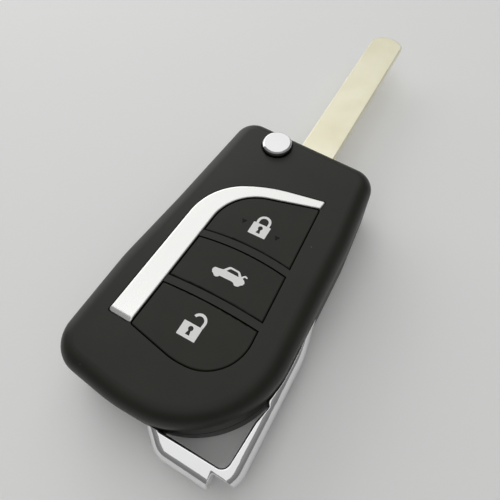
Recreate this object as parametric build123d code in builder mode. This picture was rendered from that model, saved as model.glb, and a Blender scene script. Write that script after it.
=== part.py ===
"""Folding car key fob: a two-part shell with three keys, a flip-out blade and its electronics.

Millimetres. The origin is the flip axis of the blade on the flat back of the shell, +Y runs
along the open blade, +X to the right as seen from the keys, +Z out of the key side.
"""
import os
from math import sqrt

from build123d import *

os.makedirs("parts", exist_ok=True)

# Shell: depth, walls and parting
body_depth = 16.0
parting_z = 7.6
parting_groove = 0.25
side_wall = 1.8
back_wall = 1.8
front_wall = 2.2
front_edge_radius = 3.4
back_edge_radius = 2.4
fit_gap = 0.15

# Shell outline as seen from the keys
top_left_x, top_left_y = -11.1, 6.05
top_right_x, top_right_y = 23.15, 3.45
shoulder_x, shoulder_y = 24.6, -15.0
lower_right_x, lower_right_y = 25.3, -61.7
bottom_run = 3.7
bottom_y = -63.3
bottom_left_x, bottom_left_y = -15.1, -61.6
waist_low_x, waist_low_y = -14.8, -39.0
waist_high_x, waist_high_y = -13.1, -21.5
top_left_radius = 4.9
top_right_radius = 5.2
lower_right_radius = 20.1
bottom_corner_radius = 7.0
gentle_radius = 40.0

# Flip mechanism
hub_radius = 4.8
hub_arm_reach = 12.6
hub_arm_side = 4.2
hub_thickness = 6.0
hub_edge = 0.5
bay_floor_z = 6.0
bay_play = 0.2
bay_gap = 0.4
bay_wall = 1.4
journal_radius = 3.0
journal_length = 3.0
journal_play = 0.06
hub_bore_radius = 2.9
hub_bore_floor = 1.0

# Blade
blade_width = 8.5
blade_centre_x = 7.15
blade_thickness = 2.0
blade_reach = 57.2
blade_tip_radius = 5.2
blade_tip_bevel = 0.5
blade_root = 7.5
blade_root_gap = 0.1
tang_step = 1.2
blade_z = 8.5
blade_pin_radius = 0.75
blade_pin_setback = 0.1
slot_end_gap = 0.9

# Release button and spring
button_radius = 3.3
button_rise = 1.4
button_travel = 1.6
button_chamfer = 0.35
button_play = 0.06
button_rim_gap = 0.35
button_rim_depth = 0.8
button_flange = 0.4
button_flange_thickness = 0.75
button_flange_drop = 0.15
button_stem_radius = 1.7
button_end_play = 0.4
spring_mean_radius = 2.35
spring_wire_radius = 0.25
spring_wire_sides = 6
spring_pitch = 1.2

# Trim arc
trim_left_bottom = (-8.9, -50.4)
trim_left_corner = (-7.5, -16.65)
trim_crown = (3.86, -10.96)
trim_tip_outer = (16.5, -8.95)
trim_corner_radius = 13.0
trim_crown_radius = 30.0
trim_depth = 1.5
trim_proud = 0.15
trim_gap = 0.12
trim_peg_radius = 0.6
trim_peg_length = 1.0
trim_peg_play = 0.04
trim_bevel = 0.2
trim_end_radius = 0.5
trim_end_bevel = 0.9
trim_end_drop = 0.4

# Key window, which shares the trim's inner edge
window_bottom_left = (-3.6, -50.5)
window_top_left = (-2.2, -15.9)
window_top_right = (16.2, -11.25)
window_bottom_right = (18.3, -51.7)
window_bottom = (7.0, -52.3)
window_bottom_radius = 15.0
window_arc_radius = 10.0
window_lower_radius = 8.8
window_small_radius = 0.6
upper_bar_y = -26.9
upper_bar_bow = 1.3
lower_bar_y = -39.2
lower_bar_bow = 0.6
bar_width = 1.55

# Keys
key_gap = 0.2
key_plate = 2.3
key_flange = 0.4
key_flange_thickness = 0.8
key_flange_clearance = 0.2
key_travel = 0.35
key_stem_radius = 1.6
key_edge_radius = 0.3

# Electronics
divider_wall = 1.2
cavity_top_y = -8.4
carrier_gap = 0.3
carrier_floor = 1.2
carrier_wall = 1.2
mat_thickness = 0.6
mat_hole_play = 0.3
mat_z = 11.6
board_z = 9.6
board_thickness = 0.8
board_gap = 0.2
ledge_width = 0.8
housing_size = 4.5
housing_height = 1.0
plunger_radius = 0.95
plunger_bore_play = 0.05
plunger_depth = 0.6
plunger_rise = 0.9
cell_radius = 8.0
cell_thickness = 2.0
cell_step = 0.4
cell_step_width = 1.0
cell_edge = 0.3
cell_y = -38.5
cell_ring_play = 0.15
cell_ring_wall = 0.8
clip_thickness = 0.4
clip_width = 5.0
clip_reach = 11.0
clip_leg_gap = 0.5
chip_size_x, chip_size_y, chip_size_z = 12.0, 6.0, 3.0
chip_x, chip_y = 10.0, -19.0
chip_rim = 0.9
chip_rim_height = 1.8
chip_edge = 0.6
component_edge = 0.15

# Screws
screw_radius = 1.0
screw_head_radius = 1.8
screw_head_height = 1.3
screw_play = 0.1
screw_length = 10.4
screw_tip_room = 1.0
screw_boss_radius = 2.9
screw_cross_length = 2.2
screw_cross_width = 0.5
screw_cross_depth = 0.7
lower_screw = (2.0, -57.6)
upper_screw = (19.3, -2.6)

# Corner loop for the key ring
loop_z = 3.0
loop_height = 7.0
loop_outer_x = 26.4
loop_outer_y = -66.4
loop_corner_radius = 5.2
loop_top_y = -28.5
loop_root = 1.8
loop_tip_x = 7.4
loop_tip_y = -63.3
loop_bend_x = 11.4
loop_bend_radius = 5.0
loop_wedge_length = 10.0
loop_inner_x = 23.35
loop_inner_y = -62.45
loop_inner_radius = 1.6
loop_waist = (24.9, -49.8)
loop_waist_low = (24.0, -53.2)
loop_seat_gap = 0.05
loop_edge_radius = 0.5
loop_notch_x = 21.6
loop_notch_y = -63.7

front_z = body_depth
roof_z = body_depth - front_wall
bay_roof_z = bay_floor_z + hub_thickness + 2 * bay_play
hub_z = bay_floor_z + bay_play
bay_radius = hub_arm_reach + bay_gap
bay_low_y = -hub_arm_side - 2 * bay_gap
blade_inner_x = blade_centre_x - blade_width / 2
slot_x = -blade_inner_x + bay_gap
slot_end_y = -blade_reach - slot_end_gap
divider_x = slot_x + divider_wall
cell_x = (divider_x + shoulder_x - side_wall) / 2
button_flange_radius = button_radius + button_flange
button_seat_depth = button_flange_thickness + 2 * button_flange_drop
flange_foot_z = bay_roof_z + button_flange_drop
hub_bore_z = hub_z + hub_bore_floor
hub_pocket_z = flange_foot_z - button_travel - button_end_play
far = 200.0

# Sketches that several pieces share
bottom_x = lower_right_x - lower_right_radius - bottom_run
outline_points = [
    (top_left_x, top_left_y),
    (top_right_x, top_right_y),
    (shoulder_x, shoulder_y),
    (lower_right_x, lower_right_y),
    (bottom_x, bottom_y),
    (bottom_left_x, bottom_left_y),
    (waist_low_x, waist_low_y),
    (waist_high_x, waist_high_y),
]
outline_radii = [
    top_left_radius,
    top_right_radius,
    gentle_radius,
    lower_right_radius,
    gentle_radius,
    bottom_corner_radius,
    gentle_radius,
    gentle_radius,
]

with BuildSketch() as cover_outline:
    with BuildLine():
        FilletPolyline(*outline_points, radius=outline_radii, close=True)
    make_face()

with BuildSketch() as inner_outline:
    add(cover_outline.sketch)
    offset(amount=-side_wall, kind=Kind.INTERSECTION)

# The bay that the hub turns in and the blade folds into, open at the left side and the top
with BuildSketch() as bay_outline:
    Circle(bay_radius)
    with Locations((0, bay_low_y)):
        Rectangle(far, far, align=(Align.CENTER, Align.MAX), mode=Mode.SUBTRACT)
    Circle(hub_radius + bay_gap)
    with Locations((slot_x, slot_end_y)):
        Rectangle(far, -slot_end_y, align=(Align.MAX, Align.MIN))

# The dry space for the electronics, right of the dividing wall, less the lower screw's corner.
# What lies inside it follows the same outline, drawn in by an inset.
def cavity_sketch(inset):
    boss_x = lower_screw[0] + screw_boss_radius + inset
    boss_y = lower_screw[1] + screw_boss_radius + inset
    with BuildSketch() as cavity:
        add(cover_outline.sketch)
        offset(amount=-side_wall - inset, kind=Kind.INTERSECTION)
        with Locations((divider_x + inset, cavity_top_y - inset)):
            Rectangle(far, far, align=(Align.MIN, Align.MAX), mode=Mode.INTERSECT)
        with Locations((boss_x, boss_y)):
            Rectangle(far, far, align=(Align.MAX, Align.MAX), mode=Mode.SUBTRACT)
    return cavity.sketch


cavity_outline = cavity_sketch(0)
carrier_outline = cavity_sketch(carrier_gap)
carrier_inner = cavity_sketch(carrier_gap + carrier_wall)
carrier_ledge = cavity_sketch(carrier_gap + carrier_wall + ledge_width)
board_outline = cavity_sketch(carrier_gap + carrier_wall + board_gap)

# Cored-out corner round the upper screw's boss
with BuildSketch() as upper_pocket:
    add(inner_outline.sketch)
    with Locations((0, cavity_top_y + bay_wall)):
        Rectangle(far, far, align=(Align.MIN, Align.MIN), mode=Mode.INTERSECT)
    Circle(bay_radius + bay_wall, mode=Mode.SUBTRACT)
    with Locations(upper_screw):
        Circle(screw_boss_radius, mode=Mode.SUBTRACT)

# The window polygon: its left and upper edge is the trim's inner edge
window_points = [window_bottom_left, window_top_left, window_top_right, window_bottom_right, window_bottom]
window_radii = [
    window_small_radius,
    window_arc_radius,
    window_small_radius,
    window_lower_radius,
    window_bottom_radius,
]
with BuildSketch() as window_outline:
    with BuildLine():
        FilletPolyline(*window_points, radius=window_radii, close=True)
    make_face()

# Two bowed bars of the cover part the window into three panes
bar_left_x = window_bottom_left[0] - 1
bar_right_x = window_bottom_right[0] + 1
bar_middle_x = (bar_left_x + bar_right_x) / 2
bars = [(upper_bar_y, upper_bar_bow), (lower_bar_y, lower_bar_bow)]
with BuildSketch() as window_panes:
    add(window_outline.sketch)
    for bar_y, bow in bars:
        high = bar_y + bar_width / 2
        low = bar_y - bar_width / 2
        with BuildLine():
            ThreePointArc((bar_left_x, high - bow), (bar_middle_x, high), (bar_right_x, high - bow))
            Line((bar_right_x, high - bow), (bar_right_x, low - bow))
            ThreePointArc((bar_right_x, low - bow), (bar_middle_x, low), (bar_left_x, low - bow))
            Line((bar_left_x, low - bow), (bar_left_x, high - bow))
        make_face(mode=Mode.SUBTRACT)

unlock_pane, trunk_pane, lock_pane = window_panes.sketch.faces().sort_by(Axis.Y)
key_panes = {"lock_key": lock_pane, "trunk_key": trunk_pane, "unlock_key": unlock_pane}
switch_x = (window_top_left[0] + window_bottom_right[0]) / 2
switch_rows = {"lock_key": -21.0, "trunk_key": -33.4, "unlock_key": -45.4}
switch_points = {name: (switch_x, y) for name, y in switch_rows.items()}

trim_points = [
    trim_left_bottom,
    trim_left_corner,
    trim_crown,
    trim_tip_outer,
    window_top_right,
    window_top_left,
    window_bottom_left,
]
trim_radii = [
    trim_end_radius,
    trim_corner_radius,
    trim_crown_radius,
    trim_end_radius,
    trim_end_radius,
    window_arc_radius,
    trim_end_radius,
]
with BuildSketch() as trim_outline:
    with BuildLine():
        FilletPolyline(*trim_points, radius=trim_radii, close=True)
    make_face()

trim_peg_points = [(-6.1, -46.0), (-5.5, -33.0), (-4.8, -22.5), (7.0, -12.2)]


# Front cover
with BuildPart() as front_cover:
    with BuildSketch(Plane.XY.offset(parting_z)):
        add(cover_outline.sketch)
    extrude(amount=front_z - parting_z)
    fillet(front_cover.faces().sort_by(Axis.Z)[-1].edges(), front_edge_radius)
    chamfer(front_cover.faces().sort_by(Axis.Z)[0].edges(), parting_groove)
    with BuildSketch(Plane.XY.offset(parting_z)):
        add(bay_outline.sketch)
    extrude(amount=bay_roof_z - parting_z, mode=Mode.SUBTRACT)
    with BuildSketch(Plane.XY.offset(parting_z)):
        add(cavity_outline)
        add(upper_pocket.sketch)
    extrude(amount=roof_z - parting_z, mode=Mode.SUBTRACT)
    # The three openings for the keys, and the shallow pocket beside the dividing wall
    with BuildSketch(Plane.XY.offset(front_z - key_plate - key_travel - fit_gap)):
        add(window_panes.sketch)
    extrude(amount=far, mode=Mode.SUBTRACT)
    # The trim's recess with blind holes for its pegs
    with BuildSketch(Plane.XY.offset(front_z - trim_depth)):
        add(trim_outline.sketch)
    extrude(amount=far, mode=Mode.SUBTRACT)
    with BuildSketch(Plane.XY.offset(front_z - trim_depth - trim_peg_length - fit_gap)):
        with Locations(*trim_peg_points):
            Circle(trim_peg_radius + trim_peg_play)
    extrude(amount=trim_peg_length + fit_gap, mode=Mode.SUBTRACT)
    # Stepped hole for the release button: a wider bore below for its flange, a shadow gap on top
    with BuildSketch(Plane.XY.offset(bay_roof_z)):
        Circle(button_radius + button_play)
    extrude(amount=far, mode=Mode.SUBTRACT)
    with BuildSketch(Plane.XY.offset(bay_roof_z)):
        Circle(button_flange_radius + fit_gap)
    extrude(amount=button_seat_depth, mode=Mode.SUBTRACT)
    with BuildSketch(Plane.XY.offset(front_z - button_rim_depth)):
        Circle(button_radius + button_rim_gap)
    extrude(amount=far, mode=Mode.SUBTRACT)
    with BuildSketch(Plane.XY.offset(parting_z)):
        with Locations(lower_screw, upper_screw):
            Circle(screw_radius)
    extrude(amount=screw_play + screw_length + screw_tip_room - parting_z, mode=Mode.SUBTRACT)

front_cover.part.label = "front_cover"
export_step(front_cover.part, "parts/front_cover.step")

# Back cover
with BuildPart() as back_cover:
    with BuildSketch():
        add(cover_outline.sketch)
    extrude(amount=parting_z)
    fillet(back_cover.faces().sort_by(Axis.Z)[0].edges(), back_edge_radius)
    chamfer(back_cover.faces().sort_by(Axis.Z)[-1].edges(), parting_groove)
    with BuildSketch(Plane.XY.offset(bay_floor_z)):
        add(bay_outline.sketch)
    extrude(amount=far, mode=Mode.SUBTRACT)
    with BuildSketch(Plane.XY.offset(back_wall)):
        add(cavity_outline)
        add(upper_pocket.sketch)
    extrude(amount=far, mode=Mode.SUBTRACT)
    with BuildSketch(Plane.XY.offset(hub_z - journal_length - bay_play)):
        Circle(journal_radius + journal_play)
    extrude(amount=far, mode=Mode.SUBTRACT)
    with BuildSketch():
        with Locations(lower_screw, upper_screw):
            Circle(screw_radius + screw_play)
    extrude(amount=parting_z, mode=Mode.SUBTRACT)
    with BuildSketch():
        with Locations(lower_screw, upper_screw):
            Circle(screw_head_radius + screw_play)
    extrude(amount=screw_head_height + screw_play, mode=Mode.SUBTRACT)

back_cover.part.label = "back_cover"
export_step(back_cover.part, "parts/back_cover.step")

# Two cross-head screws from the back, heads sunk in the back cover
with BuildPart() as case_screws:
    with BuildSketch(Plane.XY.offset(screw_play)):
        with Locations(lower_screw, upper_screw):
            Circle(screw_head_radius)
    extrude(amount=screw_head_height)
    with BuildSketch(Plane.XY.offset(screw_play + screw_head_height)):
        with Locations(lower_screw, upper_screw):
            Circle(screw_radius - screw_play / 2)
    extrude(amount=screw_length - screw_head_height)
    with BuildSketch(Plane.XY.offset(screw_play)):
        with Locations(lower_screw, upper_screw):
            Rectangle(screw_cross_length, screw_cross_width)
            Rectangle(screw_cross_width, screw_cross_length)
    extrude(amount=screw_cross_depth, mode=Mode.SUBTRACT)

case_screws.part.label = "case_screws"
export_step(case_screws.part, "parts/case_screws.step")

# Corner loop: a bright L-shaped bar round the lower right corner. Its two ends run into the
# cover's side, and its outer corner is notched for the ring.
loop_points = [
    (shoulder_x - loop_root, loop_top_y),
    (shoulder_x, loop_top_y),
    (loop_outer_x, loop_top_y - loop_wedge_length),
    (loop_outer_x, loop_outer_y),
    (loop_bend_x, loop_outer_y),
    (loop_tip_x, loop_tip_y),
    (loop_tip_x, loop_tip_y + loop_root),
    (loop_tip_x + loop_root, loop_tip_y + loop_root),
    (loop_tip_x + 1.5 * loop_root, loop_inner_y - fit_gap),
    (loop_inner_x, loop_inner_y),
    loop_waist_low,
    loop_waist,
    (shoulder_x - loop_root, loop_waist[1] + loop_root),
]
loop_radii = [
    fit_gap,
    fit_gap,
    gentle_radius / 2,
    loop_corner_radius,
    loop_bend_radius,
    fit_gap,
    fit_gap,
    fit_gap,
    fit_gap,
    loop_inner_radius,
    loop_inner_radius,
    fit_gap,
    fit_gap,
]
with BuildPart() as corner_loop:
    with BuildSketch(Plane.XY.offset(loop_z)):
        with BuildLine():
            FilletPolyline(*loop_points, radius=loop_radii, close=True)
        make_face()
    extrude(amount=loop_height)
    fillet(corner_loop.faces().sort_by(Axis.Z)[-1].edges(), loop_edge_radius)
    fillet(corner_loop.faces().sort_by(Axis.Z)[0].edges(), loop_edge_radius)
    with BuildSketch(Plane.XY.offset(loop_z)):
        with Locations((loop_notch_x, loop_notch_y)):
            Rectangle(far, far, align=(Align.MIN, Align.MAX))
    extrude(amount=loop_height, mode=Mode.SUBTRACT)
    with BuildSketch(Plane.XY.offset(loop_z)):
        offset(cover_outline.sketch, amount=loop_seat_gap)
    extrude(amount=loop_height, mode=Mode.SUBTRACT)

corner_loop.part.label = "corner_loop"
export_step(corner_loop.part, "parts/corner_loop.step")

# Trim arc on four pegs, its lower end sloped down into the cover
trim_end_y = trim_left_bottom[1] + trim_gap
trim_top_z = front_z + trim_proud
with BuildPart() as arc_trim:
    with BuildSketch(Plane.XY.offset(front_z - trim_depth)):
        add(trim_outline.sketch)
        offset(amount=-trim_gap, kind=Kind.INTERSECTION)
    extrude(amount=trim_depth + trim_proud)
    chamfer(arc_trim.faces().sort_by(Axis.Z)[-1].edges(), trim_bevel)
    with BuildSketch(Plane.YZ):
        with BuildLine():
            Polyline(
                (trim_end_y + trim_end_bevel, trim_top_z),
                (trim_end_y, trim_top_z - trim_end_drop),
                (trim_end_y - trim_end_bevel, trim_top_z - 2 * trim_end_drop),
                (trim_end_y - trim_end_bevel, trim_top_z),
                close=True,
            )
        make_face()
    extrude(amount=far, both=True, mode=Mode.SUBTRACT)
    with BuildSketch(Plane.XY.offset(front_z - trim_depth - trim_peg_length)):
        with Locations(*trim_peg_points):
            Circle(trim_peg_radius)
    extrude(amount=trim_peg_length)

arc_trim.part.label = "arc_trim"
export_step(arc_trim.part, "parts/arc_trim.step")

# Keys: plate flush with the face, flange under the cover, stem to the switch
flange_top_z = roof_z - key_flange_clearance
flange_z = flange_top_z - key_flange_thickness
board_top_z = board_z + board_thickness
housing_top_z = board_top_z + housing_height
plunger_top_z = housing_top_z + plunger_rise
for name, pane in key_panes.items():
    with BuildPart() as key:
        with BuildSketch(Plane.XY.offset(front_z - key_plate)):
            add(pane)
            offset(amount=-key_gap, kind=Kind.INTERSECTION)
        extrude(amount=key_plate)
        fillet(key.faces().sort_by(Axis.Z)[-1].edges(), key_edge_radius)
        with BuildSketch(Plane.XY.offset(flange_z)):
            add(pane)
            offset(amount=key_flange, kind=Kind.INTERSECTION)
            with Locations((divider_x + fit_gap, 0)):
                Rectangle(far, far, align=(Align.MIN, Align.CENTER), mode=Mode.INTERSECT)
        extrude(amount=key_flange_thickness)
        with BuildSketch(Plane.XY.offset(plunger_top_z)):
            with Locations(switch_points[name]):
                Circle(key_stem_radius)
        extrude(amount=front_z - key_plate - plunger_top_z)
    key.part.label = name
    export_step(key.part, f"parts/{name}.step")

# Carrier tray that holds the cell, the transponder and the board
carrier_floor_z = back_wall + carrier_floor
cell_z = carrier_floor_z + clip_thickness
with BuildPart() as board_carrier:
    with BuildSketch(Plane.XY.offset(back_wall)):
        add(carrier_outline)
    extrude(amount=mat_z - back_wall)
    with BuildSketch(Plane.XY.offset(board_z)):
        add(carrier_inner)
    extrude(amount=far, mode=Mode.SUBTRACT)
    with BuildSketch(Plane.XY.offset(carrier_floor_z)):
        add(carrier_ledge)
    extrude(amount=board_z - carrier_floor_z, mode=Mode.SUBTRACT)
    with BuildSketch(Plane.XY.offset(carrier_floor_z)):
        with Locations((cell_x, cell_y)):
            Circle(cell_radius + cell_ring_play + cell_ring_wall)
            Circle(cell_radius + cell_ring_play, mode=Mode.SUBTRACT)
            Rectangle(clip_width + 2 * cell_ring_wall, far, mode=Mode.SUBTRACT)
    extrude(amount=clip_thickness + cell_thickness)
    with BuildSketch(Plane.XY.offset(carrier_floor_z)):
        with Locations((chip_x, chip_y)):
            Rectangle(chip_size_x + 2 * chip_rim, chip_size_y + 2 * chip_rim)
            Rectangle(chip_size_x + 2 * fit_gap, chip_size_y + 2 * fit_gap, mode=Mode.SUBTRACT)
    extrude(amount=chip_rim_height)

board_carrier.part.label = "board_carrier"
export_step(board_carrier.part, "parts/board_carrier.step")

with BuildPart() as transponder_chip:
    with BuildSketch(Plane.XY.offset(carrier_floor_z)):
        with Locations((chip_x, chip_y)):
            Rectangle(chip_size_x, chip_size_y)
    extrude(amount=chip_size_z)
    chamfer(transponder_chip.faces().sort_by(Axis.Z)[-1].edges(), chip_edge)

transponder_chip.part.label = "transponder_chip"
export_step(transponder_chip.part, "parts/transponder_chip.step")

# Coin cell between its two contact clips
with BuildPart() as coin_cell:
    with BuildSketch(Plane.XY.offset(cell_z)):
        with Locations((cell_x, cell_y)):
            Circle(cell_radius - cell_step_width)
    extrude(amount=cell_step)
    with BuildSketch(Plane.XY.offset(cell_z + cell_step)):
        with Locations((cell_x, cell_y)):
            Circle(cell_radius)
    extrude(amount=cell_thickness - cell_step)
    chamfer(coin_cell.faces().sort_by(Axis.Z)[-1].edges(), cell_edge)

coin_cell.part.label = "coin_cell"
export_step(coin_cell.part, "parts/coin_cell.step")

clip_leg_y = cell_radius + clip_leg_gap + clip_thickness
clips = [
    ("cell_clip_negative", carrier_floor_z, -1, Align.MIN),
    ("cell_clip_positive", cell_z + cell_thickness, 1, Align.MAX),
]
for name, clip_z, side, clip_align in clips:
    with BuildPart() as clip:
        with BuildSketch(Plane.XY.offset(clip_z)):
            with Locations((cell_x, cell_y + side * clip_leg_y)):
                Rectangle(clip_width, clip_reach, align=(Align.CENTER, clip_align))
        extrude(amount=clip_thickness)
        with BuildSketch(Plane.XY.offset(clip_z)):
            with Locations((cell_x, cell_y + side * clip_leg_y)):
                Rectangle(clip_width, clip_thickness, align=(Align.CENTER, clip_align))
        extrude(amount=board_z - clip_z)
    clip.part.label = name
    export_step(clip.part, f"parts/{name}.step")

# Circuit board on the carrier's ledge, with its parts
with BuildPart() as circuit_board:
    with BuildSketch(Plane.XY.offset(board_z)):
        add(board_outline)
    extrude(amount=board_thickness)

circuit_board.part.label = "circuit_board"
export_step(circuit_board.part, "parts/circuit_board.step")

# Parts under the board: name, middle, width, length and height
component_blocks = [
    ("radio_chip", 17.2, -19.0, 4.0, 4.0, 0.9),
    ("crystal", 17.4, -25.4, 3.2, 2.5, 0.7),
    ("antenna_coil", 6.4, -14.0, 8.0, 3.0, 2.0),
]
for name, x, y, width, length, height in component_blocks:
    with BuildPart() as component:
        with BuildSketch(Plane.XY.offset(board_z - height)):
            with Locations((x, y)):
                Rectangle(width, length)
        extrude(amount=height)
        chamfer(component.faces().sort_by(Axis.Z)[0].edges(), component_edge)
    component.part.label = name
    export_step(component.part, f"parts/{name}.step")

plunger_foot_z = housing_top_z - plunger_depth + key_travel + plunger_bore_play
for name, point in switch_points.items():
    short = name.replace("_key", "")
    with BuildPart() as housing:
        with BuildSketch(Plane.XY.offset(board_top_z)):
            with Locations(point):
                Rectangle(housing_size, housing_size)
        extrude(amount=housing_height)
        with BuildSketch(Plane.XY.offset(housing_top_z - plunger_depth)):
            with Locations(point):
                Circle(plunger_radius + plunger_bore_play)
        extrude(amount=far, mode=Mode.SUBTRACT)
    housing.part.label = f"{short}_switch"
    export_step(housing.part, f"parts/{short}_switch.step")
    with BuildPart() as plunger:
        with BuildSketch(Plane.XY.offset(plunger_foot_z)):
            with Locations(point):
                Circle(plunger_radius)
        extrude(amount=plunger_top_z - plunger_foot_z)
    plunger.part.label = f"{short}_plunger"
    export_step(plunger.part, f"parts/{short}_plunger.step")

# Rubber mat over the board, with a hole for each key's stem
with BuildPart() as seal_mat:
    with BuildSketch(Plane.XY.offset(mat_z)):
        add(carrier_outline)
        with Locations(*switch_points.values()):
            Circle(key_stem_radius + mat_hole_play, mode=Mode.SUBTRACT)
    extrude(amount=mat_thickness)

seal_mat.part.label = "seal_mat"
export_step(seal_mat.part, "parts/seal_mat.step")

# Blade hub: a disc on the flip axis with an arm that clamps the blade
tang_width = blade_width - 2 * tang_step
tang_y = hub_arm_side - blade_root
pin_y = hub_arm_side - blade_root / 2
with BuildPart() as blade_hub:
    with BuildSketch(Plane.XY.offset(hub_z)):
        Circle(hub_radius)
        Rectangle(hub_arm_reach, 2 * hub_arm_side, align=(Align.MIN, Align.CENTER))
        Circle(hub_arm_reach, mode=Mode.INTERSECT)
    extrude(amount=hub_thickness)
    chamfer(blade_hub.edges().filter_by(Plane.XY), hub_edge)
    with BuildSketch(Plane.XY.offset(hub_z - journal_length)):
        Circle(journal_radius)
    extrude(amount=journal_length)
    with BuildSketch(Plane.XY.offset(hub_bore_z)):
        Circle(hub_bore_radius)
    extrude(amount=far, mode=Mode.SUBTRACT)
    with BuildSketch(Plane.XY.offset(hub_pocket_z)):
        Circle(button_flange_radius + fit_gap)
    extrude(amount=far, mode=Mode.SUBTRACT)
    with BuildSketch(Plane.XY.offset(blade_z)):
        with Locations((blade_centre_x, tang_y)):
            Rectangle(tang_width, far, align=(Align.CENTER, Align.MIN))
    extrude(amount=blade_thickness, mode=Mode.SUBTRACT)
    with BuildSketch(Plane.XY.offset(hub_z)):
        with Locations((blade_centre_x, pin_y)):
            Circle(blade_pin_radius)
    extrude(amount=far, mode=Mode.SUBTRACT)

blade_hub.part.label = "blade_hub"
export_step(blade_hub.part, "parts/blade_hub.step")

# Uncut blade with a rounded, bevelled tip and a narrower tang in the hub
blade_low_y = hub_arm_side + blade_root_gap
blade_left_x = blade_centre_x - blade_width / 2
blade_right_x = blade_centre_x + blade_width / 2
tip_sagitta = blade_tip_radius - sqrt(blade_tip_radius**2 - (blade_width / 2) ** 2)
tip_corner_y = blade_reach - tip_sagitta
with BuildPart() as key_blade:
    with BuildSketch(Plane.XY.offset(blade_z)):
        with BuildLine():
            Line((blade_left_x, blade_low_y), (blade_right_x, blade_low_y))
            Line((blade_right_x, blade_low_y), (blade_right_x, tip_corner_y))
            ThreePointArc(
                (blade_right_x, tip_corner_y),
                (blade_centre_x, blade_reach),
                (blade_left_x, tip_corner_y),
            )
            Line((blade_left_x, tip_corner_y), (blade_left_x, blade_low_y))
        make_face()
        with Locations((blade_centre_x, tang_y)):
            Rectangle(tang_width, blade_low_y - tang_y + tang_step, align=(Align.CENTER, Align.MIN))
        with Locations((blade_centre_x, pin_y)):
            Circle(blade_pin_radius, mode=Mode.SUBTRACT)
    extrude(amount=blade_thickness)
    chamfer(key_blade.edges().filter_by(GeomType.CIRCLE).sort_by(Axis.Y)[-2:], blade_tip_bevel)

key_blade.part.label = "key_blade"
export_step(key_blade.part, "parts/key_blade.step")

with BuildPart() as blade_pin:
    with BuildSketch(Plane.XY.offset(hub_z + blade_pin_setback)):
        with Locations((blade_centre_x, pin_y)):
            Circle(blade_pin_radius)
    extrude(amount=hub_thickness - 2 * blade_pin_setback)

blade_pin.part.label = "blade_pin"
export_step(blade_pin.part, "parts/blade_pin.step")

# Release button: bright cap through the cover, flange below it, stem inside the spring
button_top_z = front_z + button_rise
stem_foot_z = hub_bore_z + button_travel + button_end_play
with BuildPart() as release_button:
    with BuildSketch(Plane.XY.offset(flange_foot_z)):
        Circle(button_radius)
    extrude(amount=button_top_z - flange_foot_z)
    chamfer(release_button.faces().sort_by(Axis.Z)[-1].edges(), button_chamfer)
    with BuildSketch(Plane.XY.offset(flange_foot_z)):
        Circle(button_flange_radius)
    extrude(amount=button_flange_thickness)
    with BuildSketch(Plane.XY.offset(stem_foot_z)):
        Circle(button_stem_radius)
    extrude(amount=flange_foot_z - stem_foot_z)

release_button.part.label = "release_button"
export_step(release_button.part, "parts/release_button.step")

# Coil spring round the stem, from the bore's floor to the button's flange
spring_low_z = hub_bore_z + spring_wire_radius
spring_high_z = flange_foot_z - spring_wire_radius
with BuildPart() as flip_spring:
    with BuildLine():
        coil = Helix(
            pitch=spring_pitch,
            height=spring_high_z - spring_low_z,
            radius=spring_mean_radius,
            center=(0, 0, spring_low_z),
        )
    with BuildSketch(Plane(origin=coil @ 0, z_dir=coil % 0)):
        RegularPolygon(spring_wire_radius, spring_wire_sides)
    sweep()

flip_spring.part.label = "flip_spring"
export_step(flip_spring.part, "parts/flip_spring.step")
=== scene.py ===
import math

import bmesh
import bpy
from mathutils import Matrix, Vector, geometry


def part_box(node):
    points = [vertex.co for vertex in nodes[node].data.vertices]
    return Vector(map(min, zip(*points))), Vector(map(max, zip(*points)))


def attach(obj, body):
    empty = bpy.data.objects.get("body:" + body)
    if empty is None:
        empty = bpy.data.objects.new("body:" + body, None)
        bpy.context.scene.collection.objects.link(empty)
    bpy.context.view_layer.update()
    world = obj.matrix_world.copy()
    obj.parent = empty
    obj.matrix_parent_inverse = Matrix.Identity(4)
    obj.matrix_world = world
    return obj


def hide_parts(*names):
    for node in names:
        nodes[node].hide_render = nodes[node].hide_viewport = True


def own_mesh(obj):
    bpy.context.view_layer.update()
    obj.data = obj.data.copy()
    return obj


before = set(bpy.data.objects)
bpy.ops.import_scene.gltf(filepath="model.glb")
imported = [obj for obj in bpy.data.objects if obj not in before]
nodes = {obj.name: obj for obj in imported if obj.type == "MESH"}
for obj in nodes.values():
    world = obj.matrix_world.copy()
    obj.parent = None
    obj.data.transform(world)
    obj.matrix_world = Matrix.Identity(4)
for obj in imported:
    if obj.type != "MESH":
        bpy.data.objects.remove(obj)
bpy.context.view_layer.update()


# Back cover
# The lower half of the shell: black ABS moulded in one shot and coated with a soft-touch lacquer,
# so it is matt, slightly mottled by handling and has a very fine grain.
mm = 0.001


class Port:
    """An output socket that sums, differences and products can be written with."""

    def __init__(self, graph, socket):
        self.graph = graph
        self.socket = socket

    def maths(self, operation, first, second):
        return self.graph.node("Math", {"operation": operation}, {0: first, 1: second})

    def __add__(self, other):
        return self.maths("ADD", self, other)

    def __sub__(self, other):
        return self.maths("SUBTRACT", self, other)

    def __mul__(self, other):
        return self.maths("MULTIPLY", self, other)

    def __radd__(self, other):
        return self.maths("ADD", other, self)

    def __rsub__(self, other):
        return self.maths("SUBTRACT", other, self)

    def __rmul__(self, other):
        return self.maths("MULTIPLY", other, self)


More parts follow.
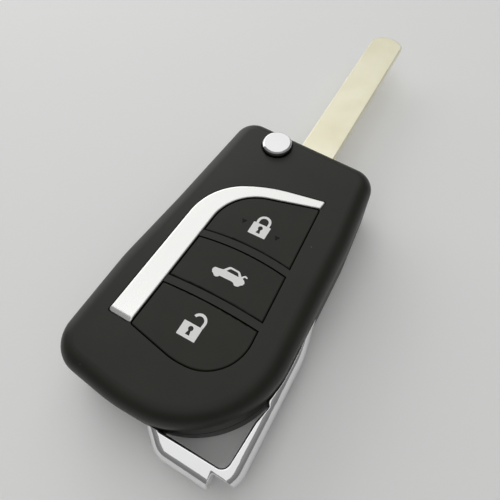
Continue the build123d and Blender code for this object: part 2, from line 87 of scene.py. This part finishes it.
class Graph:
    """A shader's node tree, to which one method adds any node."""

    def __init__(self, tree):
        self.tree = tree

    def node(self, kind, settings=None, sockets=None, output=0):
        made = self.tree.nodes.new("ShaderNode" + kind)
        for setting, value in (settings or {}).items():
            if setting == "stops":
                self.set_stops(made.color_ramp, value)
            else:
                setattr(made, setting, value)
        for socket, value in (sockets or {}).items():
            self.feed(made.inputs[socket], value)
        return Port(self, made.outputs[output])

    def feed(self, socket, value):
        if isinstance(value, Port):
            self.tree.links.new(value.socket, socket)
        else:
            socket.default_value = value

    def set_stops(self, ramp, stops):
        while len(ramp.elements) < len(stops):
            ramp.elements.new(1.0)
        for element, (position, level) in zip(ramp.elements, stops):
            element.position = position
            element.color = (level, level, level, 1)


class Finish(Graph):
    """One material with a Principled shader, its constants set on the shader's own sockets."""

    def __init__(self, name, constants):
        self.material = bpy.data.materials.new(name)
        self.material.use_nodes = True
        super().__init__(self.material.node_tree)
        self.shader = self.tree.nodes["Principled BSDF"]
        for socket, value in constants.items():
            self.shader.inputs[socket].default_value = value
        self.place = self.node("TexCoord", output="Object")

    def drive(self, socket, value):
        self.feed(self.shader.inputs[socket], value)

    def stretched(self, factors):
        return self.node("Mapping", sockets={"Vector": self.place, "Scale": factors})

    def noise(self, scale, detail, place=None):
        sockets = {"Vector": place or self.place, "Scale": scale, "Detail": detail}
        return self.node("TexNoise", sockets=sockets)

    def ramp(self, value, low, high):
        """0 below low, 1 above high, straight in between."""
        return self.node("ValToRGB", {"stops": [(low, 0.0), (high, 1.0)]}, {0: value})

    def blend(self, share, first, second):
        first, second = (
            colour if isinstance(colour, Port) else (*colour, 1) for colour in (first, second)
        )
        sockets = {0: share, 6: first, 7: second}
        return self.node("Mix", {"data_type": "RGBA"}, sockets, output=2)

    def bump(self, height, depth, strength, edge_radius=None):
        """Relief on the surface, over edges that are softened where a radius is given."""
        sockets = {"Height": height, "Distance": depth, "Strength": strength}
        if edge_radius:
            sockets["Normal"] = self.node("Bevel", {"samples": 8}, {"Radius": edge_radius})
        self.drive("Normal", self.node("Bump", sockets=sockets))


def shade(colour, factor):
    return tuple(channel * factor for channel in colour)


noise_middle = 0.5
lint_grey, lint_cover = (0.2, 0.2, 0.19), 0.35
mottle_gain = 1.22
handling_shine = 0.16
lacquer_relief = 0.014 * mm


def soft_touch(name, colour, roughness, grain):
    """Matt lacquer or silicone: fine grain, broad mottling, handled patches and specks of lint."""
    finish = Finish(name, {"IOR": 1.46, "Specular IOR Level": 0.42})
    mottle = finish.ramp(finish.noise(scale=160, detail=3), low=0.35, high=0.7)
    lint = finish.ramp(finish.noise(scale=1100, detail=1), low=0.82, high=0.84)
    lacquer = finish.blend(mottle, colour, shade(colour, mottle_gain))
    finish.drive("Base Color", finish.blend(lint * lint_cover, lacquer, lint_grey))
    handled = finish.noise(scale=38, detail=4)
    finish.drive("Roughness", roughness + (handled - noise_middle) * handling_shine)
    finish.bump(finish.noise(scale=grain, detail=2), lacquer_relief, strength=0.55)
    return finish.material


def wear(piece, material):
    piece.data.materials.clear()
    piece.data.materials.append(material)


cover_black = (0.0125, 0.0128, 0.0085)
cover_finish = soft_touch("soft_touch_black", cover_black, roughness=0.44, grain=5200)
wear(nodes["back_cover"], cover_finish)


# Case screws
# Two self-tapping steel screws with bright plating, driven in from the back, their cross heads
# sunk in the back cover's counterbores.
patch_shade = 0.94
metal_grain_shine, metal_patch_shine = 0.18, 0.06
metal_relief = 0.004 * mm


def plain_metal(name, colour, roughness, streak=(1, 1, 1)):
    """Drawn or plated metal, its grain drawn out across the streak's larger factors."""
    finish = Finish(name, {"Metallic": 1.0})
    grain = finish.noise(scale=900, detail=3, place=finish.stretched(streak))
    patches = finish.noise(scale=70, detail=2)
    finish.drive("Base Color", finish.blend(patches, shade(colour, patch_shade), colour))
    grain_shine = (grain - noise_middle) * metal_grain_shine
    patch_shine = (patches - noise_middle) * metal_patch_shine
    finish.drive("Roughness", roughness + grain_shine + patch_shine)
    finish.bump(grain, metal_relief, strength=0.4)
    return finish.material


steel_finish = plain_metal("plated_steel", (0.55, 0.55, 0.56), roughness=0.3)
wear(nodes["case_screws"], steel_finish)


# Board carrier and transponder
# A natural black glass-filled tray that lies on the back cover and holds the cell, the sealed
# transponder block and the circuit board on its ledge.
flow_stretch = (1, 0.3, 1)
flow_dark, flow_light = 0.85, 1.15
moulding_shine = 0.2
moulding_relief = 0.01 * mm


def moulded(name, colour, roughness):
    """Bare moulded plastic: the flow of the melt in broad streaks, under fine specks."""
    finish = Finish(name, {"IOR": 1.5})
    speck = finish.noise(scale=2600, detail=3)
    flow = finish.noise(scale=55, detail=2, place=finish.stretched(flow_stretch))
    streaks = finish.blend(flow, shade(colour, flow_dark), shade(colour, flow_light))
    finish.drive("Base Color", streaks)
    finish.drive("Roughness", roughness + (speck - noise_middle) * moulding_shine)
    finish.bump(speck, moulding_relief, strength=0.4)
    return finish.material


tray_finish = moulded("glass_filled_black", (0.035, 0.035, 0.036), roughness=0.5)
chip_finish = moulded("chip_compound", (0.02, 0.02, 0.022), roughness=0.45)
wear(nodes["board_carrier"], tray_finish)
for name in ("transponder_chip", "radio_chip", "antenna_coil"):
    wear(nodes[name], chip_finish)


# Coin cell and its clips
# A stainless lithium cell pressed between two sprung brass clips that rise to the board. The
# crystal under the board has the same drawn steel can.
cell_finish = plain_metal("cell_steel", (0.66, 0.66, 0.65), roughness=0.26, streak=(1, 12, 1))
clip_finish = plain_metal("spring_brass", (0.72, 0.58, 0.3), roughness=0.34, streak=(10, 1, 1))
for name in ("coin_cell", "crystal"):
    wear(nodes[name], cell_finish)
for name in ("cell_clip_negative", "cell_clip_positive"):
    wear(nodes[name], clip_finish)


# Circuit board and switches
# Green laminate with three low push switches, soldered on, whose pale plungers are held by the
# keys above.
resist_roughness, track_shine = 0.34, 0.12
track_relief = 0.02 * mm


def laminate(name, resist, track):
    finish = Finish(name, {"Coat Weight": 0.4, "Coat Roughness": 0.15})
    grid = {"Vector": finish.place, "Scale": 420.0, "Mortar Size": 0.018}
    lanes = finish.node("TexBrick", {"offset": 0.5}, grid, output="Fac")
    finish.drive("Base Color", finish.blend(lanes, resist, track))
    finish.drive("Roughness", resist_roughness + lanes * track_shine)
    finish.bump(lanes, track_relief, strength=0.6)
    return finish.material


board_finish = laminate("green_laminate", (0.015, 0.11, 0.045), (0.05, 0.24, 0.1))
wear(nodes["circuit_board"], board_finish)
plunger_pale = (0.5, 0.48, 0.42)
for name in ("lock", "trunk", "unlock"):
    wear(nodes[f"{name}_switch"], tray_finish)
    plunger_finish = moulded(f"{name}_plunger_white", plunger_pale, roughness=0.45)
    wear(nodes[f"{name}_plunger"], plunger_finish)


# Seal mat
# Dark grey silicone sheet that keeps water off the board, punched for the key stems and lying on
# the carrier's rim.
mat_grey = (0.05, 0.05, 0.052)
wear(nodes["seal_mat"], soft_touch("mat_silicone", mat_grey, roughness=0.6, grain=3600))


# Front cover
# The upper half of the shell, moulded and lacquered like the back one, with the key window, the
# recess for the trim arc and the round hole of the release button.
wear(nodes["front_cover"], cover_finish)


# Trim arc
# A bright plated moulding with a satin face that is pressed with four pegs into its recess
# beside the keys.
cloud_shade = 0.96
brush_stretch = (1, 0.12, 1)
brush_shine, cloud_shine = 0.06, 0.08
satin_relief, satin_edge = 0.001 * mm, 0.45 * mm


def satin_plate(name, colour, roughness):
    finish = Finish(name, {"Metallic": 1.0})
    cloud = finish.noise(scale=60, detail=2)
    brushed = finish.noise(scale=2600, detail=2, place=finish.stretched(brush_stretch))
    finish.drive("Base Color", finish.blend(cloud, shade(colour, cloud_shade), colour))
    brushing = (brushed - noise_middle) * brush_shine
    clouding = (cloud - noise_middle) * cloud_shine
    finish.drive("Roughness", roughness + brushing + clouding)
    finish.bump(brushed, satin_relief, strength=0.2, edge_radius=satin_edge)
    return finish.material


satin_bright = (0.9, 0.905, 0.88)
wear(nodes["arc_trim"], satin_plate("satin_bright_plate", satin_bright, roughness=0.26))


# Keys
# Three matt black silicone keys flush with the face, their flanges held under the cover and
# their stems on the switches.
key_black = (0.0155, 0.016, 0.011)
key_finish = soft_touch("key_silicone", key_black, roughness=0.58, grain=6400)
for name in ("lock_key", "trunk_key", "unlock_key"):
    wear(nodes[name], key_finish)


# Printed marks on the keys
# Pale ink pad-printed on each key: a closed padlock, a car with its boot up and an open padlock.
# Each mark is a thin skin of ink just above the key. Its outlines are in millimetres.
ink_thickness = 0.03 * mm
arc_steps, corner_steps = 20, 4


def ink_skin(name, loops, corner, body):
    """A flat sheet of ink with the loops' outline, where an inner loop leaves a hole."""
    curve = bpy.data.curves.new(name, "CURVE")
    curve.dimensions = "2D"
    curve.fill_mode = "BOTH"
    curve.extrude = ink_thickness / 2
    for loop in loops:
        spline = curve.splines.new("POLY")
        spline.points.add(len(loop) - 1)
        for point, (x, y) in zip(spline.points, loop):
            point.co = (x * mm, y * mm, 0, 1)
        spline.use_cyclic_u = True
    drawn = bpy.data.objects.new(name + "_curve", curve)
    mesh = bpy.data.meshes.new_from_object(drawn)
    bpy.data.objects.remove(drawn)
    key_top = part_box(body)[1].z
    shift = Vector((corner[0] * mm, corner[1] * mm, key_top + ink_thickness / 2))
    mesh.transform(Matrix.Translation(shift))
    piece = bpy.data.objects.new(name, mesh)
    bpy.context.scene.collection.objects.link(piece)
    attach(piece, body)
    return piece


def arc(centre, radius, start, end, steps=arc_steps):
    """Points along an arc, from a start to an end angle in degrees."""
    angles = [math.radians(start + (end - start) * i / steps) for i in range(steps + 1)]
    return [(centre[0] + radius * math.cos(a), centre[1] + radius * math.sin(a)) for a in angles]


def rounded_box(width, height, radius):
    right, top = width - radius, height - radius
    corners = [(right, top), (radius, top), (radius, radius), (right, radius)]
    loop = []
    for quarter, corner in enumerate(corners):
        loop += arc(corner, radius, 90 * quarter, 90 * quarter + 90, corner_steps)
    return loop


ink_light, ink_lightest = (0.92, 0.92, 0.9), (0.95, 0.95, 0.93)
ink_roughness, ink_shine = 0.5, 0.12
ink_relief = 0.005 * mm
ink_finish = Finish("pale_ink", {"IOR": 1.48})
ink_cover = ink_finish.noise(scale=700, detail=3)
ink_grain = ink_finish.noise(scale=3000, detail=2)
ink_finish.drive("Base Color", ink_finish.blend(ink_cover, ink_light, ink_lightest))
ink_finish.drive("Roughness", ink_roughness + ink_grain * ink_shine)
ink_finish.bump(ink_grain, ink_relief, strength=0.4)

padlock_width, padlock_height, padlock_corner = 3.85, 2.9, 0.14
padlock_body = rounded_box(padlock_width, padlock_height, padlock_corner)

keyhole_x, keyhole_y = padlock_width / 2, 1.95
keyhole_radius, keyhole_start, keyhole_end = 0.5, -62, 242
keyhole_drop, keyhole_foot = 1.3, 0.44
keyhole = arc((keyhole_x, keyhole_y), keyhole_radius, keyhole_start, keyhole_end) + [
    (keyhole_x - keyhole_foot, keyhole_y - keyhole_drop),
    (keyhole_x + keyhole_foot, keyhole_y - keyhole_drop),
]

shackle_outer, shackle_inner = 1.5, 0.95
shackle_leg, overlap = 0.62, 0.02
shackle_low = padlock_height - overlap
bow_x, bow_y = padlock_width / 2, padlock_height + shackle_leg
closed_shackle = (
    [(bow_x + shackle_outer, shackle_low)]
    + arc((bow_x, bow_y), shackle_outer, 0, 180)
    + [(bow_x - shackle_outer, shackle_low), (bow_x - shackle_inner, shackle_low)]
    + arc((bow_x, bow_y), shackle_inner, 180, 0)
    + [(bow_x + shackle_inner, shackle_low)]
)

open_shift, open_leg, open_lean, open_end = 0.12, 0.95, 0.08, 158
open_x, open_y = padlock_width - shackle_outer + open_shift, padlock_height + open_leg
open_shackle = (
    [(open_x + shackle_outer - open_lean, shackle_low)]
    + arc((open_x, open_y), shackle_outer, 0, open_end)
    + arc((open_x, open_y), shackle_inner, open_end, 0)
    + [(open_x + shackle_inner - open_lean, shackle_low)]
)

car_outline = [
    (0.0, 0.95), (0.06, 1.45), (0.35, 1.72), (1.1, 1.78), (1.92, 1.95), (2.3, 2.4),
    (2.75, 2.98), (3.1, 3.1), (4.9, 3.02), (5.2, 2.85), (5.82, 2.2), (6.2, 2.62),
    (6.5, 2.78), (6.95, 2.6), (7.05, 2.38), (6.85, 2.34), (6.45, 2.4), (6.22, 2.0),
    (6.75, 1.7), (7.02, 1.3), (6.92, 0.8), (6.5, 0.5), (6.3, 0.15), (5.9, 0.0),
    (5.45, 0.0), (5.0, 0.42), (4.7, 0.5), (2.0, 0.45), (1.75, 0.1), (1.4, -0.05),
    (1.0, 0.0), (0.6, 0.35), (0.3, 0.5),
]
car_window = [(2.62, 1.98), (3.08, 2.62), (3.3, 2.72), (4.75, 2.66), (4.92, 2.56), (5.38, 1.92)]

lock_corner, trunk_corner, unlock_corner = (5.5, -23.25), (3.75, -34.85), (4.85, -47.85)
marks = [
    ("lock_mark_body", [padlock_body, keyhole], lock_corner, "lock_key"),
    ("lock_mark_shackle", [closed_shackle], lock_corner, "lock_key"),
    ("boot_mark", [car_outline, car_window], trunk_corner, "trunk_key"),
    ("unlock_mark_body", [padlock_body, keyhole], unlock_corner, "unlock_key"),
    ("unlock_mark_shackle", [open_shackle], unlock_corner, "unlock_key"),
]
for name, loops, corner, body in marks:
    wear(ink_skin(name, loops, corner, body), ink_finish.material)


# Pips on the lock key
# Two tiny pips beside the padlock, moulded in one with the silicone key, three-sided and barely
# raised.
pip_radius, pip_height = 0.72 * mm, 0.07 * mm
pip_taper = 0.7
pip_round = pip_height / 4
pip_places = {"left": (3.54, -21.19), "right": (11.38, -21.74)}
pip_finish = soft_touch("pip_silicone", (0.002, 0.0025, 0.002), roughness=0.75, grain=6400)


def pip(side, place):
    shape = bmesh.new()
    cone = {"radius1": pip_radius, "radius2": pip_radius * pip_taper, "depth": pip_height}
    bmesh.ops.create_cone(shape, cap_ends=True, segments=3, **cone)
    shape.transform(Matrix.Rotation(math.pi, 4, "Z"))
    bmesh.ops.bevel(shape, geom=shape.edges[:], offset=pip_round, segments=2, affect="EDGES")
    mesh = bpy.data.meshes.new(f"lock_pip_{side}")
    shape.to_mesh(mesh)
    shape.free()
    key_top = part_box("lock_key")[1].z
    seat = (place[0] * mm, place[1] * mm, key_top + pip_height / 2)
    mesh.transform(Matrix.Translation(seat))
    piece = bpy.data.objects.new(f"lock_pip_{side}", mesh)
    bpy.context.scene.collection.objects.link(piece)
    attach(piece, "lock_key")
    wear(piece, pip_finish)


for side, place in pip_places.items():
    pip(side, place)


# Corner loop
# A zinc casting, polished and chromed, whose two ends run into the shell's lower right side and
# leave the eye for a key ring. Its outer top edge is rolled over, the others hardly broken.
haze_dark, haze_light = (0.82, 0.82, 0.83), (0.9, 0.9, 0.9)
hairline_stretch = (1, 0.08, 1)
chrome_roughness, hairline_shine, haze_shine = 0.05, 0.12, 0.05
chrome_relief, chrome_edge = 0.01 * mm, 0.25 * mm


def polished_chrome(name):
    finish = Finish(name, {"Metallic": 1.0})
    haze = finish.noise(scale=140, detail=3)
    scratches = finish.noise(scale=1500, detail=2, place=finish.stretched(hairline_stretch))
    finish.drive("Base Color", finish.blend(haze, haze_dark, haze_light))
    hairlines = finish.ramp(scratches, low=0.62, high=0.8) * hairline_shine
    finish.drive("Roughness", chrome_roughness + hairlines + haze * haze_shine)
    finish.bump(haze, chrome_relief, strength=0.25, edge_radius=chrome_edge)
    return finish.material


weld = 0.001 * mm
longest_run = 0.35 * mm
straight = math.radians(0.4)


def section_outline(node, height):
    """The node's outline at a height, counter-clockwise, with even points along straight runs."""
    cut = bmesh.new()
    cut.from_mesh(node.data)
    bmesh.ops.remove_doubles(cut, verts=cut.verts, dist=weld)
    everything = cut.verts[:] + cut.edges[:] + cut.faces[:]
    plane = {"plane_co": (0, 0, height), "plane_no": (0, 0, 1)}
    bmesh.ops.bisect_plane(cut, geom=everything, clear_inner=True, clear_outer=True, **plane)
    bmesh.ops.remove_doubles(cut, verts=cut.verts, dist=weld)
    corner = cut.verts[:][0]
    edge = corner.link_edges[0]
    points = []
    for _ in cut.verts:
        points.append(corner.co.to_2d())
        corner = edge.other_vert(corner)
        edge = next(other for other in corner.link_edges if other is not edge)
    cut.free()
    around = list(zip(points[-1:] + points[:-1], points, points[1:] + points[:1]))
    if sum(a.x * b.y - b.x * a.y for a, b, _ in around) < 0:
        around = [(after, point, before) for before, point, after in reversed(around)]
    corners = [b for a, b, c in around if abs((b - a).angle_signed(c - b, 0)) > straight]
    outline = []
    for first, second in zip(corners, corners[1:] + corners[:1]):
        runs = math.ceil((second - first).length / longest_run)
        outline += [first.lerp(second, run / runs) for run in range(runs)]
    return outline


far_off = 50 * mm


def nearest_run(point, runs):
    """Distance to the nearest of some straight runs, each a pair of points."""
    distances = [far_off]
    for first, second in runs:
        foot, share = geometry.intersect_point_line(point, first, second)
        foot = first.lerp(second, min(1, max(0, share)))
        distances.append((point - foot).length)
    return min(distances)


def rolled(distance, radius, depth):
    """How far a rolled edge lies below the face at a distance from its border."""
    across = max(0, 1 - distance / radius)
    return depth * (1 - math.sqrt(1 - across * across))


loop_low, loop_high = (corner.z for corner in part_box("corner_loop"))
loop_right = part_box("corner_loop")[1].x
arm_width = 3 * mm
notch_width, notch_slack = 4.9 * mm, 0.2 * mm
outer_roll, outer_drop, small_roll = 2.1 * mm, 2.6 * mm, 0.4 * mm
row_depths = [depth * mm for depth in (0.06, 0.15, 0.28, 0.42, 0.75, 1.1, 1.5, 1.9)]
row_room = 0.9
facing_out = 0.2
crease = math.radians(50)


def cast_loop(name):
    """The cast bar: the solid's outline, with its outer top edge rolled over like the real one."""
    outline = section_outline(nodes["corner_loop"], (loop_low + loop_high) / 2)
    runs = list(zip(outline, outline[1:] + outline[:1]))
    notch_left = loop_right - notch_width + notch_slack
    outer = []
    for first, second in runs:
        along = (second - first).normalized()
        on_arm = first.x > loop_right - arm_width and along.y > facing_out
        on_foot = max(first.x, second.x) < notch_left and along.x > facing_out
        if on_arm or on_foot:
            outer.append((first, second))
    points = list(outline)
    for first, second in runs:
        along = (second - first).normalized()
        for depth in row_depths:
            point = (first + second) / 2 + Vector((-along.y, along.x)) * depth
            if nearest_run(point, runs) > row_room * depth:
                points.append(point)
    border = [(i, (i + 1) % len(outline)) for i in range(len(outline))]
    flat = geometry.delaunay_2d_cdt(points, border, [], 1, weld)
    places, faces, origins = flat[0], flat[2], flat[3]
    cast = bmesh.new()
    top, bottom, rim = [], [], {}
    for number, (place, origin) in enumerate(zip(places, origins)):
        broken = rolled(nearest_run(place, runs), small_roll, small_roll)
        drop = max(rolled(nearest_run(place, outer), outer_roll, outer_drop), broken)
        top.append(cast.verts.new((*place, loop_high - drop)))
        bottom.append(cast.verts.new((*place, loop_low + broken)))
        for source in origin:
            rim[source] = number
    for face in faces:
        cast.faces.new([top[corner] for corner in face])
        cast.faces.new([bottom[corner] for corner in reversed(face)])
    for first, second in border:
        a, b = rim[first], rim[second]
        cast.faces.new((bottom[a], bottom[b], top[b], top[a]))
    outside = [corner for corner in cast.verts if not corner.link_faces]
    bmesh.ops.delete(cast, geom=outside, context="VERTS")
    for face in cast.faces:
        face.smooth = True
    mesh = bpy.data.meshes.new(name)
    cast.to_mesh(mesh)
    cast.free()
    mesh.set_sharp_from_angle(angle=crease)
    piece = bpy.data.objects.new(name, mesh)
    bpy.context.scene.collection.objects.link(piece)
    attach(piece, "case")
    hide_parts("corner_loop")
    return piece


chrome_finish = polished_chrome("polished_chrome")
wear(cast_loop("corner_loop_casting"), chrome_finish)


# Blade, hub and pin
# An uncut nickel-silver blank, milled flat and a little stained, held by its tang and a cross
# pin in the black moulded hub.
blank_bright, blank_stained = (0.88, 0.85, 0.67), (0.82, 0.78, 0.58)
milling_stretch = (1, 0.05, 1)
blank_roughness, milling_shine, stain_shine = 0.27, 0.2, 0.06
milling_relief, blade_edge = 0.006 * mm, 0.3 * mm


def nickel_blank(name):
    finish = Finish(name, {"Metallic": 1.0})
    milling = finish.noise(scale=1400, detail=3, place=finish.stretched(milling_stretch))
    stain = finish.ramp(finish.noise(scale=95, detail=3), low=0.4, high=0.75)
    finish.drive("Base Color", finish.blend(stain, blank_bright, blank_stained))
    finish.drive("Roughness", blank_roughness + milling * milling_shine + stain * stain_shine)
    finish.bump(milling, milling_relief, strength=0.5, edge_radius=blade_edge)
    return finish.material


wear(nodes["key_blade"], nickel_blank("nickel_silver"))
wear(nodes["blade_hub"], tray_finish)
wear(nodes["blade_pin"], steel_finish)


# Release button and spring
# A chromed push button that frees the blade, on the coil spring that also throws the blade out.
# The spring is round wire that stands in the hub's bore under the button's flange.
wear(nodes["release_button"], chrome_finish)

wire_radius, coil_pitch = 0.25 * mm, 1.2 * mm
steps_per_turn = 28


def coil_spring(name):
    """Round wire wound from the bore's floor to the flange."""
    low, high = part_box("flip_spring")
    centre = (low + high) / 2
    winding = (high.x - low.x) / 2 - wire_radius
    foot, head = low.z + wire_radius, high.z - wire_radius
    steps = round((head - foot) / coil_pitch * steps_per_turn)
    wire = bpy.data.curves.new(name, "CURVE")
    wire.dimensions = "3D"
    wire.bevel_depth = wire_radius
    wire.bevel_resolution = 3
    wire.use_fill_caps = True
    spline = wire.splines.new("POLY")
    spline.points.add(steps)
    for step, point in enumerate(spline.points):
        turn = 2 * math.pi * step / steps_per_turn
        x = centre.x + winding * math.cos(turn)
        y = centre.y + winding * math.sin(turn)
        point.co = (x, y, foot + (head - foot) * step / steps, 1)
    drawn = bpy.data.objects.new(name + "_wire", wire)
    mesh = bpy.data.meshes.new_from_object(drawn)
    bpy.data.objects.remove(drawn)
    piece = bpy.data.objects.new(name, mesh)
    bpy.context.scene.collection.objects.link(piece)
    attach(piece, "flip")
    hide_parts("flip_spring")
    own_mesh(piece)
    return piece


wear(coil_spring("coil_spring"), steel_finish)


# Studio
# A pale matt floor under the fob, three large soft boxes and a dim room round them, and the
# camera at the photograph's viewing angle.
floor_drop = 0.02 * mm
floor_size = 4.0
floor_mesh = bpy.data.meshes.new("floor")
plate = bmesh.new()
bmesh.ops.create_grid(plate, x_segments=1, y_segments=1, size=floor_size / 2)
plate.to_mesh(floor_mesh)
plate.free()
floor = bpy.data.objects.new("floor", floor_mesh)
floor.location.z = -floor_drop
bpy.context.scene.collection.objects.link(floor)
floor_finish = Finish("pale_floor", {"Base Color": (0.96, 0.96, 0.95, 1), "Roughness": 0.7})
wear(floor, floor_finish.material)

world = bpy.data.worlds.new("studio")
bpy.context.scene.world = world
world.use_nodes = True
room = Graph(world.node_tree)
direction = room.node("TexCoord", output="Generated")
height = room.node("SeparateXYZ", sockets={0: direction}, output="Z")
floor_to_ceiling = [(0.0, 0.3), (0.5, 0.2), (0.66, 0.18), (0.85, 0.26), (1.0, 0.28)]
level = room.node("ValToRGB", {"stops": floor_to_ceiling}, {0: height * 0.5 + 0.5})
backdrop = world.node_tree.nodes["Background"]
room.feed(backdrop.inputs["Color"], level)
backdrop.inputs["Strength"].default_value = 1.0

middle = Vector((5, -20, 0)) * mm


def soft_box(name, towards, distance, size, brightness):
    """A rectangular diffuser whose face has the given brightness, 1 being white."""
    lamp = bpy.data.lights.new(name, "AREA")
    lamp.shape = "RECTANGLE"
    lamp.size, lamp.size_y = size
    lamp.energy = brightness * math.pi * size[0] * size[1]
    holder = bpy.data.objects.new(name, lamp)
    holder.location = middle + Vector(towards).normalized() * distance
    holder.rotation_euler = (middle - holder.location).to_track_quat("-Z", "Y").to_euler()
    bpy.context.scene.collection.objects.link(holder)


soft_box("window_light", (-0.33, 0.55, 0.77), distance=0.8, size=(1.0, 0.8), brightness=0.7)
soft_box("ceiling_light", (0.06, -0.2, 0.98), distance=0.8, size=(0.9, 0.8), brightness=0.6)
soft_box("side_light", (-0.85, 0.4, 0.36), distance=0.9, size=(1.1, 0.7), brightness=1.2)

camera_place = Vector((31.25, -62.31, 89.8)) * mm
look = Vector((-0.2722, 0.4182, -0.8666))
camera_roll = math.radians(-3.95)
sensor_width = 36.0
focal_pixels = 431.9
frame_pixels = 500
camera = bpy.data.cameras.new("camera")
camera.sensor_width = sensor_width
camera.lens = focal_pixels / frame_pixels * sensor_width
camera.clip_start = 1 * mm
viewer = bpy.data.objects.new("camera", camera)
viewer.matrix_world = (
    Matrix.Translation(camera_place)
    @ look.to_track_quat("-Z", "Y").to_matrix().to_4x4()
    @ Matrix.Rotation(camera_roll, 4, "Z")
)
bpy.context.scene.collection.objects.link(viewer)
bpy.context.scene.camera = viewer
bpy.context.scene.view_settings.view_transform = "Standard"
